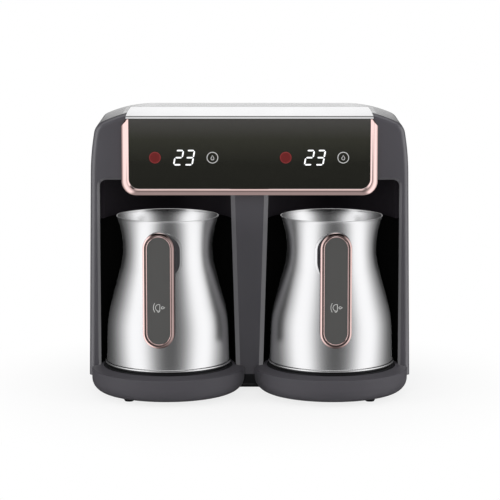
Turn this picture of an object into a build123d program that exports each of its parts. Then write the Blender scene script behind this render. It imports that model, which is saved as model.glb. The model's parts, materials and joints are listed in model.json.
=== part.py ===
from build123d import *
import os
from math import cos, radians, sin, sqrt, tan

# A coffee machine with two brewing bays, each with its own pot.
# Sizes are in millimetres. X runs across the machine, Y to its back and Z up.
# The origin is on the table, under the middle of the box that holds the whole machine.

# Housing
housing_width = 285.8
housing_depth = 125.0
housing_top = 253.3
shell_bottom = 15.5
shell_wall = 2.5
side_lean = 0.8
shoulder_radii = (119.0, 13.0, 230.0)
shoulder_turns = (25.2, 55.0)
nape_radius = 60.0
front_edge_radius = 5.0
fit_gap = 0.3
cut_past = 1.0
tiny = 0.01

# Control panel
panel_margin = 30.3
panel_drop = 7.4
panel_height = 67.5
panel_depth = 12.0
panel_corner = 13.0
panel_shoulder_drop = 6.6
panel_shoulder_inset = 4.2
frame_side = 6.5
frame_low = 5.6
frame_outer_bevel = 3.6
frame_inner_bevel = 1.2
glass_thickness = 2.8
glass_recess = 0.8
glass_corner = 9.0
glass_gap = 0.15
carrier_back = 2.0
carrier_rim = 7.0
window_width = 30.0
window_height = 14.0
trim_lip = 2.1
trim_reach = 20.0
trim_rise = 0.3
trim_bow_place = 0.45
trim_bow_rise = 0.62
trim_rear_edge = 1.6
trim_rear_inset = 7.6

# Marks and modules behind the glass
mark_rise = 33.4
mark_depth = 0.15
display_share = 0.509
red_key_offset = 25.6
white_key_offset = 24.8
key_radius = 5.0
key_line = 0.5
digit_height = 13.7
digit_width = 7.6
digit_pitch = 9.7
digit_stroke = 1.2
digit_slant = 10.0
digit_gap = 0.45
module_width = 26.0
module_height = 19.0
module_gap = 0.1
touch_pad_radius = 4.5
board_thickness = 1.6
board_gap = 2.0
board_margin = 2.0
board_peg_radius = 3.0
board_peg_inset = 5.0

# Front opening of the housing
opening_side = 10.5
opening_rise = 12.4
opening_corner = 6.0
opening_bevel = 2.2
flange_wall = 2.8
flange_depth = 9.0

# Rear opening and its cover
cover_margin = 13.9
cover_low = 24.0
cover_drop = 2.8
cover_corner = 8.0
cover_gap = 0.1
ledge_width = 4.0
ledge_depth = 2.5
vent_count = 8
vent_pitch = 7.0
vent_width = 3.0
vent_length = 62.0
vent_share = 0.24
vent_drop = 80.0
gland_inset = 33.0
gland_z = 40.0
gland_radius = 6.0
gland_bore = 3.6
gland_flange = 8.5
gland_proud = 3.0

# Bays, their pads and their hot plates
pad_inset = 2.6
pad_gap = 9.4
pad_rear_inset = 8.8
pad_rear_lip_inset = 8.1
pad_rear_lip_drop = 0.3
pad_rear_lip_height = 3.7
pad_wall = 3.0
pad_edge_top = 23.8
pad_ring_top = 25.9
pad_ring_width = 10.3
pad_edge_round = 1.2
pad_foot_round = 12.0
pad_bottom = 3.0
pad_shelf = 22.4
pad_shelf_width = 8.5
pad_shelf_depth = 2.5
bay_inset = 6.8
bay_wall = 2.0
liner_gap = 0.1
hood_inset = 3.7
hood_wall = 3.5
hood_drop = 35.3
hood_ceiling_rise = 1.2
hood_roof = 2.5
hood_lip = 2.5
plate_inset = 4.0
plate_top = 26.4
plate_flange = 1.6
plate_flange_gap = 0.5
plate_edge = 0.4
seal_height = 1.3
seal_gap = 0.1
heater_inset = 15.5
heater_width = 8.0
heater_depth = 6.0
heater_tag = (4.0, 1.0, 5.0)
heater_tag_offset = 6.0
heater_tag_drop = 2.0
sensor_radius = 6.0
sensor_gap = 0.2
sensor_flange = 9.0
sensor_flange_depth = 3.0
sensor_drop = 8.0
steam_radius = 7.0
steam_height = 9.0
steam_rim = 2.0
steam_setback = 4.0

# Plinth, bottom plate and feet
plinth_inset = 5.4
plinth_wall = 2.5
plinth_setback = 0.5
deck_top = 16.5
deck_depth = 2.5
bottom_low = 4.8
bottom_depth = 2.5
post_radius = 4.5
post_margin = 16.9
post_y = 42.0
screw_radius = 1.5
screw_head = 3.0
screw_head_depth = 1.8
screw_length = 6.0
screw_gap = 0.2
thread_gap = 0.05
screw_slot = (4.0, 0.8)
foot_radius = 5.2
foot_round = 1.5
foot_taper = 0.6
foot_edge_gap = 0.5
foot_bearing = 48.3
foot_behind = 15.0

# Column between the bays
column_lap = 0.4
column_flare = 5.2
column_chamfer = 3.8
column_wall = 2.5
column_top_gap = 0.2

# Power electronics
power_board_width = 156.0
power_board_front_gap = 5.0
power_board_rear_gap = 8.0
standoff_height = 5.0
standoff_radius = 3.0
standoff_inset = 5.0
transformer_size = (36.0, 30.0, 28.0)
transformer_core_share = 0.6
transformer_bobbin_height = 0.7
transformer_round = 3.0
transformer_x = -42.0
relay_size = (16.0, 20.0, 15.5)
relay_xs = (17.0, 35.0)
terminal_size = (32.0, 10.0, 12.0)
terminal_x = 60.0
terminal_inset = 10.0
terminal_count = 4
buzzer_x = -68.0
buzzer_radius = 6.0
buzzer_hole = 1.0
buzzer_floor = 1.0
buzzer_height = 8.0
ribbon_width = 12.0
ribbon_thickness = 1.0
ribbon_bend = 8.0
ribbon_behind = 20.0
ribbon_rise = 4.0
ribbon_landing = 6.0

# Pots
pot_height = 133.1
pot_wall = 0.8
rim_flare = 5.8
waist_inset = 18.1
waist_height = 103.4
lower_neck_radius = 60.0
cone_angle = 15.0
belly_radius = 100.0
foot_angle = 2.0
foot_ring_inset = 3.0
foot_ring_height = 3.6
bead_inset = 1.7
bead_height = 2.0
bead_round = 0.7
bead_low = 1.0
core_inset = 4.7
core_gap = 0.1
core_edge = 0.5
seat_gap = 0.2

# Pot handles
handle_reach = 82.0
grip_thickness = 14.0
grip_width = 27.0
grip_low = 28.2
grip_length = 99.8
grip_back_round = 4.0
handle_trim_width = 3.6
handle_trim_depth = 4.0
handle_trim_round = 1.1
handle_part_gap = 0.1
face_recess = 1.0
face_thickness = 1.6
bracket_width = 28.5
bracket_low = 82.0
bracket_length = 38.8
bracket_wall_gap = 0.05
escutcheon_rim = 1.75
escutcheon_thickness = 1.1
handle_screw_radius = 2.0
handle_screw_gap = 0.2
handle_screw_head = 3.8
handle_screw_head_depth = 2.6
handle_screw_spacing = 18.0
handle_screw_wall_gap = 2.5
handle_turns = {"left": -3.7, "right": 1.0}

# Places that follow from these sizes
sides = {"left": -1, "right": 1}
span = 4 * housing_width
half_width = housing_width / 2
total_depth = handle_reach + housing_depth + gland_proud
front_y = handle_reach - total_depth / 2
rear_y = front_y + housing_depth
panel_y = front_y - panel_depth
glass_y = panel_y + glass_recess
glass_back_y = glass_y + glass_thickness
board_y = front_y - carrier_back - board_gap - board_thickness
plate_y = front_y + flange_depth + fit_gap
inner_rear_y = rear_y - shell_wall - ledge_depth

panel_width = housing_width - 2 * panel_margin
panel_high = housing_top - panel_drop
panel_low = panel_high - panel_height
panel_middle = (panel_high + panel_low + frame_low) / 2
mark_height = panel_low + mark_rise
display_pitch = display_share * panel_width
opening_half = half_width - opening_side
opening_top = panel_low + opening_rise
cover_width = housing_width - 2 * cover_margin
cover_high = opening_top - cover_drop

pad_radius = (half_width - pad_inset - pad_gap / 2) / 2
bay_pitch = 2 * pad_radius + pad_gap
pad_rear_radius = pad_radius - pad_rear_inset
pad_rear_lip = pad_radius - pad_rear_lip_inset
pad_floor_radius = pad_radius - pad_foot_round
pad_bore = pad_radius - pad_ring_width
bay_radius = pad_radius - bay_inset
hood_radius = bay_radius - hood_inset
hood_low = opening_top - hood_drop
hood_ceiling = opening_top + hood_ceiling_rise
plate_radius = pad_bore - plate_inset
heater_radius = plate_radius - heater_inset
column_foot_width = bay_pitch - 2 * bay_radius + 2 * column_lap
column_top_width = column_foot_width + 2 * column_flare
post_x = half_width - post_margin

board_low = deck_top + standoff_height
board_top = board_low + board_thickness
power_board_rear = inner_rear_y - power_board_rear_gap
power_board_front = front_y + bay_radius + bay_wall + power_board_front_gap
power_board_depth = power_board_rear - power_board_front
power_board_y = (power_board_rear + power_board_front) / 2

pot_low = plate_top + seat_gap
waist_radius = pad_bore - waist_inset
rim_radius = waist_radius + rim_flare
foot_ring_radius = pad_bore - foot_ring_inset
bead_radius = pad_bore - bead_inset
core_radius = pad_bore - core_inset
core_top = pot_low + foot_ring_height - bead_low
handle_back = handle_reach - grip_thickness
face_back = face_recess + face_thickness - handle_reach


def facing(y):
    # the plane at depth y that looks forward, with X across it and Z up it
    return Plane(origin=(0, y, 0), x_dir=(1, 0, 0), z_dir=(0, -1, 0))


def slab(shape, y_front, y_back):
    # a shape drawn as seen from the front, solid from y_front to y_back
    return extrude(facing(y_back) * shape, y_back - y_front)


def prism(shape, low, high):
    # a shape drawn as seen from above, solid from one height to another
    return extrude(Pos(0, 0, low) * shape, high - low)


def ring(outer, inner, low, high):
    return prism(Circle(outer) - Circle(inner), low, high)


def behind(y):
    # all the space behind depth y
    return Pos(0, y + span / 2, 0) * Box(span, span, span)


def ahead(y):
    # all the space in front of depth y
    return Pos(0, y - span / 2, 0) * Box(span, span, span)


def bay_x(side):
    return sides[side] * bay_pitch / 2


def at_bay(side, shape):
    # a shape drawn about a bay's axis, set in its bay
    return Pos(bay_x(side), front_y, 0) * shape


def upright_rectangle(width, low, high):
    return Pos(0, (low + high) / 2) * Rectangle(width, high - low)


# Housing outlines

def front_outline(inset, bottom):
    # flat top, three tangent arcs at each shoulder, then a side that leans in a little
    turns = shoulder_turns + (90 - side_lean - sum(shoulder_turns),)
    reach = 0.0
    drop = 0.0
    angle = 0.0
    for radius, turn in zip(shoulder_radii, turns):
        reach += (radius - inset) * (sin(radians(angle + turn)) - sin(radians(angle)))
        drop += (radius - inset) * (cos(radians(angle)) - cos(radians(angle + turn)))
        angle += turn
    top = housing_top - inset
    point = Vector(side_x(inset, top - drop) - reach, top)
    heading = Vector(1, 0)
    right = []
    for radius, turn in zip(shoulder_radii, turns):
        arc = JernArc(point, heading, radius - inset, -turn)
        right.append(arc)
        point = arc @ 1
        heading = arc % 1
    right.append(Line(point, (side_x(inset, bottom), bottom)))
    left = [edge.mirror(Plane.YZ) for edge in right]
    upper = Line(left[0] @ 0, right[0] @ 0)
    base = Line(left[-1] @ 1, right[-1] @ 1)
    return make_face(Curve() + [upper, base] + right + left)


def side_x(inset, z):
    # the housing's side at height z, moved in by the inset
    lean = radians(side_lean)
    return half_width - inset / cos(lean) - (z - shell_bottom) * tan(lean)


def side_outline(inset, bottom):
    # upright front, flat top, and a wide round at the nape
    front = front_y + inset
    rear = rear_y - inset
    top = housing_top - inset
    nape = JernArc((rear - nape_radius + inset, top), (1, 0), nape_radius - inset, -90)
    lines = [
        Polyline(nape @ 0, (front, top), (front, bottom), (rear, bottom), nape @ 1),
        nape,
    ]
    return make_face(Curve() + lines)


def housing_block(inset, bottom):
    # the front edge is rounded up both sides and over the top
    along = slab(front_outline(inset, bottom), front_y + inset, rear_y - inset)
    across = extrude(Plane.YZ.offset(-span / 2) * side_outline(inset, bottom), span)
    block = along & across
    front_face = block.faces().sort_by(Axis.Y)[0]
    edges = [edge for edge in front_face.edges() if edge.center().Z > bottom + inset + cut_past]
    return fillet(edges, front_edge_radius - inset)


def opening_outline(grow, low):
    shape = upright_rectangle(2 * (opening_half + grow), low, opening_top + grow)
    return fillet(shape.vertices().group_by(Axis.Y)[-1], opening_corner + grow)


def rear_outline(grow):
    low = cover_low - grow
    high = cover_high + grow
    shape = upright_rectangle(cover_width + 2 * grow, low, high)
    return fillet(shape.vertices(), cover_corner + grow)


def cable_window():
    return Pos(0, panel_middle) * Rectangle(window_width, window_height)


def housing_shell():
    below = shell_bottom - shell_wall
    outside = housing_block(0, shell_bottom)
    shell = outside - housing_block(shell_wall, below)
    shell += trim_space(shell_wall) & outside
    shell -= trim_space(fit_gap / 2)
    shell += slab(opening_outline(flange_wall, shell_bottom), front_y, front_y + flange_depth)
    shell -= slab(opening_outline(0, below), front_y - fit_gap, front_y + flange_depth + fit_gap)
    edges = [edge for edge in shell.edges() if is_opening_edge(edge)]
    shell = chamfer(edges, opening_bevel)
    ledge_back = rear_y - shell_wall
    shell += slab(rear_outline(shell_wall), ledge_back - ledge_depth, ledge_back)
    shell -= slab(rear_outline(-ledge_width), ledge_back - 2 * ledge_depth, rear_y + fit_gap)
    shell -= slab(rear_outline(0), ledge_back, rear_y + fit_gap)
    shell -= slab(cable_window(), front_y - fit_gap, front_y + shell_wall + fit_gap)
    return shell


def trim_space(grow):
    # the wedge over the panel that the polished strip fills, open above
    rear = front_y + trim_reach + grow
    low = panel_high - grow
    rear_low = housing_top - trim_rear_edge - grow
    above = housing_top + nape_radius
    front = panel_y - grow
    points = [(front, low), (front_y, low), (rear, rear_low), (rear, above), (front, above)]
    side = Plane.YZ.offset(-span / 2) * make_face(Polyline(*points, close=True))
    front_half = panel_width / 2 - panel_shoulder_inset + grow
    rear_half = panel_width / 2 - trim_rear_inset + grow
    corners = [(-front_half, front), (front_half, front), (rear_half, rear), (-rear_half, rear)]
    plan = make_face(Polyline(*corners, close=True))
    return extrude(side, span) & prism(plan, panel_low, above)


def is_opening_edge(edge):
    # the front edges of the opening, up one side, over the top and down the other
    centre = edge.center()
    in_front_face = edge.bounding_box().max.Y < front_y + tiny
    inside = abs(centre.X) < opening_half + tiny and centre.Z < opening_top + tiny
    return in_front_face and inside


# Rear cover, its screws and the cord gland

def rear_screw_places():
    x_out = cover_width / 2 - 2 * cover_corner
    z_low = cover_low + cover_corner
    z_high = cover_high - cover_corner
    return [(x, z) for x in (-x_out, 0, x_out) for z in (z_low, z_high)]


def rear_cover():
    cover_front = rear_y - shell_wall + cover_gap
    before = cover_front - cut_past
    past = rear_y + cut_past
    cover = slab(rear_outline(-fit_gap), cover_front, rear_y)
    for x in (-vent_share * cover_width, vent_share * cover_width):
        for step in range(vent_count):
            z = cover_high - vent_drop + step * vent_pitch
            cover -= slab(Pos(x, z) * SlotOverall(vent_length, vent_width), before, past)
    cover -= slab(Pos(gland_x(), gland_z) * Circle(gland_radius + cover_gap), before, past)
    for x, z in rear_screw_places():
        place = Pos(x, z)
        cover -= slab(place * Circle(screw_radius + screw_gap), before, past)
        cover -= slab(place * Circle(screw_head + screw_gap), rear_y - screw_head_depth, past)
        boss_front = cover_front - 2 * post_radius
        boss = slab(place * Circle(post_radius), boss_front, cover_front)
        boss -= slab(place * Circle(screw_radius), boss_front - cut_past, cover_front)
        cover += boss - rear_ledge_clearance()
    return cover


def gland_x():
    return cover_width / 2 - gland_inset


def rear_ledge_clearance():
    # the space that the shell's ledge takes behind the cover, with a gap round it
    ledge_back = rear_y - shell_wall
    outer = slab(rear_outline(shell_wall + cut_past), ledge_back - ledge_depth - fit_gap, ledge_back)
    inner = rear_outline(-ledge_width - fit_gap)
    return outer - slab(inner, ledge_back - 2 * ledge_depth, ledge_back + cut_past)


def rear_screws():
    screws = Part()
    head_front = rear_y - screw_head_depth
    for x, z in rear_screw_places():
        place = Pos(x, z)
        head = slab(place * Circle(screw_head), head_front, rear_y - cover_gap)
        shank = slab(place * Circle(screw_radius - thread_gap), head_front - screw_length, head_front)
        slot = slab(place * Rectangle(*screw_slot), rear_y - screw_head_depth / 2, rear_y)
        screws += head + shank - slot
    return screws


def cord_gland():
    # a rubber bush with a flange on each face of the rear cover
    inside = rear_y - shell_wall - 2 * gland_proud
    body = slab(Circle(gland_radius), inside, rear_y + gland_proud)
    outer = slab(Circle(gland_flange), rear_y, rear_y + gland_proud)
    outer = fillet(outer.edges().group_by(Axis.Y)[-1], gland_proud / 2)
    inner = slab(Circle(gland_flange), inside, rear_y - shell_wall)
    bore = slab(Circle(gland_bore), inside - cut_past, rear_y + gland_proud + cut_past)
    return Pos(gland_x(), 0, gland_z) * (body + outer + inner - bore)


# Bays: liner, hood, steam sensor

def bay_liner(side):
    wall = ring(bay_radius + bay_wall, bay_radius, deck_top, hood_low - liner_gap)
    return at_bay(side, wall) & behind(plate_y)


def bay_hood(side):
    outer = hood_radius + hood_wall
    hood = ring(outer, hood_radius, hood_low, hood_ceiling + hood_roof)
    hood += prism(Circle(outer), hood_ceiling, hood_ceiling + hood_roof)
    hood += ring(bay_radius + bay_wall, hood_radius, hood_low, hood_low + hood_lip)
    hole = Pos(0, steam_sensor_y()) * Circle(steam_radius - steam_rim)
    hood -= prism(hole, hood_ceiling - cut_past, hood_ceiling + hood_roof + cut_past)
    return at_bay(side, hood) & behind(plate_y)


def steam_sensor_y():
    # the sensor looks down at the middle of the pot's mouth, behind the opening's flange
    return flange_depth + fit_gap + steam_radius + steam_setback


def steam_sensor(side):
    # looks at the foam through the hole in the hood's roof
    top = hood_ceiling + hood_roof
    body = prism(Circle(steam_radius), top, top + steam_height)
    lens = prism(Circle(steam_radius - steam_rim - sensor_gap), hood_ceiling + sensor_gap, top)
    return at_bay(side, Pos(0, steam_sensor_y(), 0) * (body + lens))


# Pads and hot plates

def pad(side):
    # a round pad: full width in front of the housing, narrower where it runs into the bay
    shelf_low = pad_shelf - pad_shelf_depth
    shelf_inner = pad_bore - pad_shelf_width
    inner = [
        (pad_bore, pad_ring_top),
        (pad_bore, pad_shelf),
        (shelf_inner, pad_shelf),
        (shelf_inner, shelf_low),
    ]
    round_top = pad_bottom + pad_foot_round
    outer_foot = JernArc((pad_radius, round_top), (0, -1), pad_foot_round, -90)
    inner_foot = JernArc((pad_radius - pad_wall, round_top), (0, -1), pad_foot_round - pad_wall, -90)
    edge = JernArc((pad_radius - pad_edge_round, pad_edge_top), (1, 0), pad_edge_round, -90)
    outline = Curve() + [
        Polyline(*inner, (pad_radius - pad_wall, shelf_low), inner_foot @ 0),
        inner_foot,
        Line(inner_foot @ 1, outer_foot @ 1),
        outer_foot,
        Line(outer_foot @ 0, edge @ 1),
        edge,
        Line(edge @ 0, (pad_bore, pad_ring_top)),
    ]
    front = revolve(Plane.XZ * make_face(outline), Axis.Z)
    rear_bottom = bottom_low + bottom_depth + cover_gap
    rear_inner = pad_rear_radius - pad_wall
    lip_top = pad_ring_top - pad_rear_lip_drop
    lip_low = lip_top - pad_rear_lip_height
    rear_points = inner + [
        (rear_inner, shelf_low),
        (rear_inner, rear_bottom),
        (pad_rear_radius, rear_bottom),
        (pad_rear_radius, lip_low),
        (pad_rear_lip, lip_low),
        (pad_rear_lip, lip_top),
    ]
    rear = revolve(Plane.XZ * make_face(Polyline(*rear_points, close=True)), Axis.Z)
    whole = at_bay(side, (front & ahead(-fit_gap)) + (rear & behind(-fit_gap)))
    return whole - flange_space()


def flange_space():
    # where the opening's flange stands, with a gap round it
    low = front_y - fit_gap
    high = front_y + flange_depth + fit_gap
    beside = Rectangle(span, span) - Rectangle(2 * (opening_half - fit_gap), 2 * span)
    return slab(beside, low, high)


def hot_plate(side):
    flange_radius = pad_bore - plate_flange_gap
    plate = prism(Circle(flange_radius), pad_shelf, pad_shelf + plate_flange)
    plate += prism(Circle(plate_radius), pad_shelf + plate_flange, plate_top)
    plate = chamfer(plate.edges().group_by(Axis.Z)[-1], plate_edge)
    plate -= prism(Circle(sensor_radius + sensor_gap), pad_shelf - cut_past, plate_top + cut_past)
    return at_bay(side, plate)


def plate_seal(side):
    low = pad_shelf + plate_flange
    return at_bay(side, ring(pad_bore - seal_gap, plate_radius + seal_gap, low, low + seal_height))


def heater(side):
    # a ring element pressed under the plate, with its two terminals at the back
    low = pad_shelf - heater_depth
    half = heater_width / 2
    element = ring(heater_radius + half, heater_radius - half, low, pad_shelf)
    for x in (-heater_tag_offset, heater_tag_offset):
        element += Pos(x, heater_radius, low - heater_tag_drop) * Box(*heater_tag)
    return at_bay(side, element)


def plate_sensor(side):
    body = prism(Circle(sensor_radius), pad_shelf - sensor_drop, plate_top - sensor_gap)
    body += prism(Circle(sensor_flange), pad_shelf - sensor_flange_depth, pad_shelf)
    return at_bay(side, body)


# Plinth, bottom plate, feet and the screws between them

def tray_plan(width, grow, rear):
    # the floor plan of the plinth: a rectangle behind the opening, a tongue between the pads
    low = plate_y + grow
    plan = Pos(0, (low + rear) / 2) * Rectangle(width, rear - low)
    tongue_front = front_y + plinth_setback + grow
    tongue_back = low + 2 * plinth_wall
    tongue = Rectangle(column_foot_width, tongue_back - tongue_front)
    plan += Pos(0, (tongue_front + tongue_back) / 2) * tongue
    for side in sides:
        plan -= Pos(bay_x(side), front_y) * Circle(pad_rear_radius + fit_gap + grow)
    return plan


def post_places():
    # four at the corners of the deck and one behind the column
    depths = (front_y + post_y, inner_rear_y - 2 * post_radius)
    corners = [(x, y) for x in (-post_x, post_x) for y in depths]
    return corners + [(0, front_y + bay_radius + 2 * post_radius)]


def plinth():
    # walls under a deck: the deck's edge lies just inside the shell
    plinth_width = housing_width - 2 * plinth_inset
    deck_width = housing_width - 2 * shell_wall - 2 * fit_gap
    rear = inner_rear_y - fit_gap
    low = bottom_low + bottom_depth + cover_gap
    deck_low = deck_top - deck_depth
    walls = prism(tray_plan(plinth_width, 0, rear), low, deck_low)
    inner_width = plinth_width - 2 * plinth_wall
    hollow = tray_plan(inner_width, plinth_wall, rear - plinth_wall)
    walls -= prism(hollow, low - cut_past, deck_low)
    body = walls + prism(tray_plan(deck_width, 0, rear), deck_low, deck_top)
    for x, y in post_places():
        body += prism(Pos(x, y) * Circle(post_radius), low, deck_low)
        body -= prism(Pos(x, y) * Circle(screw_radius), low - cut_past, deck_low)
    return body


def bottom_plate():
    high = bottom_low + bottom_depth
    rear = inner_rear_y - fit_gap
    flange_y = front_y + flange_depth / 2
    plan = Pos(0, (front_y + rear) / 2) * Rectangle(housing_width - 2 * plinth_inset, rear - front_y)
    beside = Rectangle(span, flange_depth) - Rectangle(bay_pitch + 2 * pad_rear_radius, span)
    plan -= Pos(0, flange_y) * beside
    for side in sides:
        plan += Pos(bay_x(side), front_y) * Circle(pad_floor_radius - fit_gap)
    plate = prism(plan, bottom_low, high)
    before = bottom_low - cut_past
    for x, y in post_places():
        place = Pos(x, y)
        plate -= prism(place * Circle(screw_radius + screw_gap), before, high + cut_past)
        plate -= prism(place * Circle(screw_head + screw_gap), before, bottom_low + screw_head_depth)
    return plate


def bottom_screws():
    screws = Part()
    head_top = bottom_low + screw_head_depth
    for x, y in post_places():
        place = Pos(x, y)
        head = prism(place * Circle(screw_head), bottom_low + cover_gap, head_top)
        shank = prism(place * Circle(screw_radius - thread_gap), head_top, head_top + screw_length)
        screws += head + shank
    return screws


def foot_places():
    # in front they stand under the pads, at a bearing from each bay's axis
    bearing = radians(foot_bearing)
    out = pad_floor_radius - fit_gap - foot_edge_gap - foot_radius
    x = bay_pitch / 2 + out * cos(bearing)
    depths = (front_y - out * sin(bearing), rear_y - foot_behind)
    return [(turn * x, y) for turn in sides.values() for y in depths]


def rubber_feet():
    tread = foot_radius - foot_round
    side = [
        (0, 0),
        (tread, 0),
        (foot_radius - foot_taper, foot_round),
        (foot_radius, bottom_low),
        (0, bottom_low),
    ]
    foot = revolve(Plane.XZ * make_face(Polyline(*side, close=True)), Axis.Z)
    feet = Part()
    for x, y in foot_places():
        feet += Pos(x, y, 0) * foot
    return feet


# Column

def column_section(width, grow):
    # half round the front: chamfered edges and a flat face
    half = width / 2 - grow
    nose = column_chamfer
    back = front_y + flange_depth
    front = front_y + grow
    corner = half - nose
    right = [(corner, front), (half, front + nose), (half, back)]
    left = [(-x, y) for x, y in reversed(right)]
    return make_face(Polyline(*right, *left, close=True))


def column():
    low = deck_top
    high = opening_top - column_top_gap
    sections = [Pos(0, 0, low) * column_section(column_foot_width, 0)]
    sections.append(Pos(0, 0, high) * column_section(column_top_width, 0))
    outer = loft(sections, ruled=True)
    hollow = [Pos(0, cut_past, low - cut_past) * column_section(column_foot_width, column_wall)]
    roof = Pos(0, cut_past, high - column_wall)
    hollow.append(roof * column_section(column_top_width, column_wall))
    return outer - loft(hollow, ruled=True)


# Control panel

def panel_outline(side_inset, low_inset, corner):
    # upright sides that lean in near the top, round lower corners
    half = panel_width / 2 - side_inset
    lean = panel_shoulder_inset
    low = panel_low + low_inset
    shoulder = panel_high - panel_shoulder_drop
    right = [(half, low), (half, shoulder), (half - lean, panel_high)]
    left = [(-x, z) for x, z in reversed(right)]
    shape = make_face(Polyline(*right, *left, close=True))
    return fillet(shape.vertices().group_by(Axis.Y)[0], corner)


def glass_outline(shrink):
    half = panel_width / 2 - frame_side - shrink
    low = panel_low + frame_low + shrink
    shape = upright_rectangle(2 * half, low, panel_high)
    return fillet(shape.vertices().group_by(Axis.Y)[0], glass_corner - shrink)


def panel_frame():
    # a U of polished metal round the sides and foot of the glass
    body = slab(panel_outline(0, 0, panel_corner), panel_y, front_y)
    outer = [edge for edge in body.edges() if is_frame_edge(edge)]
    body = chamfer(outer, frame_outer_bevel)
    open_width = panel_width - 2 * frame_side
    above = upright_rectangle(open_width, panel_high - glass_gap, panel_high + panel_depth)
    body -= slab(glass_outline(0) + above, panel_y - cut_past, front_y + cut_past)
    inner = [edge for edge in body.edges() if is_frame_inner_edge(edge)]
    return chamfer(inner, frame_inner_bevel)


def is_frame_edge(edge):
    # front edges of the frame's outline, apart from the one along its top
    in_front_face = edge.bounding_box().max.Y < panel_y + tiny
    return in_front_face and edge.center().Z < panel_high - tiny


def is_frame_inner_edge(edge):
    centre = edge.center()
    in_front_face = edge.bounding_box().max.Y < panel_y + tiny
    beside_glass = abs(centre.X) < panel_width / 2 - frame_side + tiny
    above_foot = panel_low + frame_low - tiny < centre.Z < panel_high - frame_inner_bevel
    return in_front_face and beside_glass and above_foot


def panel_glass():
    return slab(glass_outline(glass_gap), glass_y, glass_back_y)


def panel_carrier():
    # a black tray between the glass and the housing, with a window for the ribbon
    body = slab(glass_outline(glass_gap), glass_back_y, front_y)
    pocket = glass_outline(carrier_rim)
    pocket_top = Pos(0, panel_high) * Rectangle(panel_width, 2 * carrier_rim)
    body -= slab(pocket - pocket_top, glass_back_y - cut_past, front_y - carrier_back)
    return body - slab(cable_window(), front_y - carrier_back - cut_past, front_y + cut_past)


def top_trim():
    # a polished strip that runs from over the glass back to the top of the housing
    front_top = panel_high + trim_lip
    rear = front_y + trim_reach
    rear_top = housing_top + trim_rise
    middle_y = panel_y + trim_bow_place * (rear - panel_y)
    middle_z = front_top + trim_bow_rise * (rear_top - front_top)
    slope = ThreePointArc((panel_y, front_top), (middle_y, middle_z), (rear, rear_top))
    below = [slope @ 1, (rear, panel_low), (panel_y, panel_low), slope @ 0]
    side = make_face(Curve() + [slope, Polyline(*below)])
    return trim_space(0) & extrude(Plane.YZ.offset(-span / 2) * side, span)


# Display board and what is on it

def group_x(side):
    return sides[side] * display_pitch / 2


def key_places():
    red = [group_x(side) - red_key_offset for side in sides]
    white = [group_x(side) + white_key_offset for side in sides]
    return red, white


def display_board():
    width = panel_width - 2 * (frame_side + carrier_rim + board_margin)
    height = panel_height - frame_low - 2 * (carrier_rim + board_margin)
    back = board_y + board_thickness
    body = slab(Pos(0, panel_middle) * Rectangle(width, height), board_y, back)
    peg_x = width / 2 - board_peg_inset
    for x in (-peg_x, peg_x):
        body += slab(Pos(x, panel_middle) * Circle(board_peg_radius), back, front_y - carrier_back)
    return body


def display_modules():
    modules = Part()
    for side in sides:
        shape = Pos(group_x(side), mark_height) * Rectangle(module_width, module_height)
        modules += slab(shape, glass_back_y + module_gap, board_y)
    return modules


def touch_pads():
    pads = Part()
    red, white = key_places()
    for x in red + white:
        pads += slab(Pos(x, mark_height) * Circle(touch_pad_radius), glass_back_y, board_y)
    return pads


def key_rings(places):
    rings = Part()
    shape = Circle(key_radius) - Circle(key_radius - key_line)
    for x in places:
        rings += slab(Pos(x, mark_height) * shape, glass_y - mark_depth, glass_y)
    return rings


def digit_segments():
    # the lit bars of a 2 and a 3 on each display, leaning to the right
    lit = {"2": "abged", "3": "abgcd"}
    bars = Part()
    for side in sides:
        for place, figure in ((-0.5, "2"), (0.5, "3")):
            for name in lit[figure]:
                middle = group_x(side) + place * digit_pitch
                bars += slab(Pos(middle, mark_height) * segment(name), glass_y - mark_depth, glass_y)
    return bars


def segment(name):
    # one bar of a seven-bar figure: its middle, then its direction
    across = (digit_width - digit_stroke) / 2
    up = (digit_height - digit_stroke) / 2
    middles = {
        "a": (0, up),
        "b": (across, up / 2),
        "c": (across, -up / 2),
        "d": (0, -up),
        "e": (-across, -up / 2),
        "f": (-across, up / 2),
        "g": (0, 0),
    }
    x, z = middles[name]
    flat = name in "adg"
    half = (across if flat else up / 2) - digit_gap
    stroke = digit_stroke / 2
    tip = half - stroke
    points = [(-half, 0), (-tip, stroke), (tip, stroke), (half, 0), (tip, -stroke), (-tip, -stroke)]
    if not flat:
        points = [(across_bar, along_bar) for along_bar, across_bar in points]
    lean = tan(radians(digit_slant))
    leaning = [(x + px + (z + pz) * lean, z + pz) for px, pz in points]
    return make_face(Polyline(*leaning, close=True))


# Power board and what is on it

def power_board():
    board = Pos(0, power_board_y) * Rectangle(power_board_width, power_board_depth)
    return prism(board, board_low, board_top)


def board_standoffs():
    posts = Part()
    out_x = power_board_width / 2 - standoff_inset
    out_y = power_board_depth / 2 - standoff_inset
    for x in (-out_x, out_x):
        for y in (-out_y, out_y):
            place = Pos(x, power_board_y + y)
            posts += prism(place * Circle(standoff_radius), deck_top, board_low)
    return posts


def on_board(x, y, size):
    width, depth, height = size
    shape = Pos(x, power_board_y + y) * Rectangle(width, depth)
    return prism(shape, board_top, board_top + height)


def transformer():
    # a laminated core with the winding's bobbin showing above and below it
    width, depth, height = transformer_size
    core = on_board(transformer_x, 0, (width, depth * transformer_core_share, height))
    middle = Pos(transformer_x, power_board_y, board_top + height / 2)
    bobbin = middle * Box(width * transformer_core_share, depth, height * transformer_bobbin_height)
    return core + fillet(bobbin.edges().filter_by(Axis.Z), transformer_round)


def relays():
    pair = Part()
    for x in relay_xs:
        pair += on_board(x, 0, relay_size)
    return pair


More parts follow.
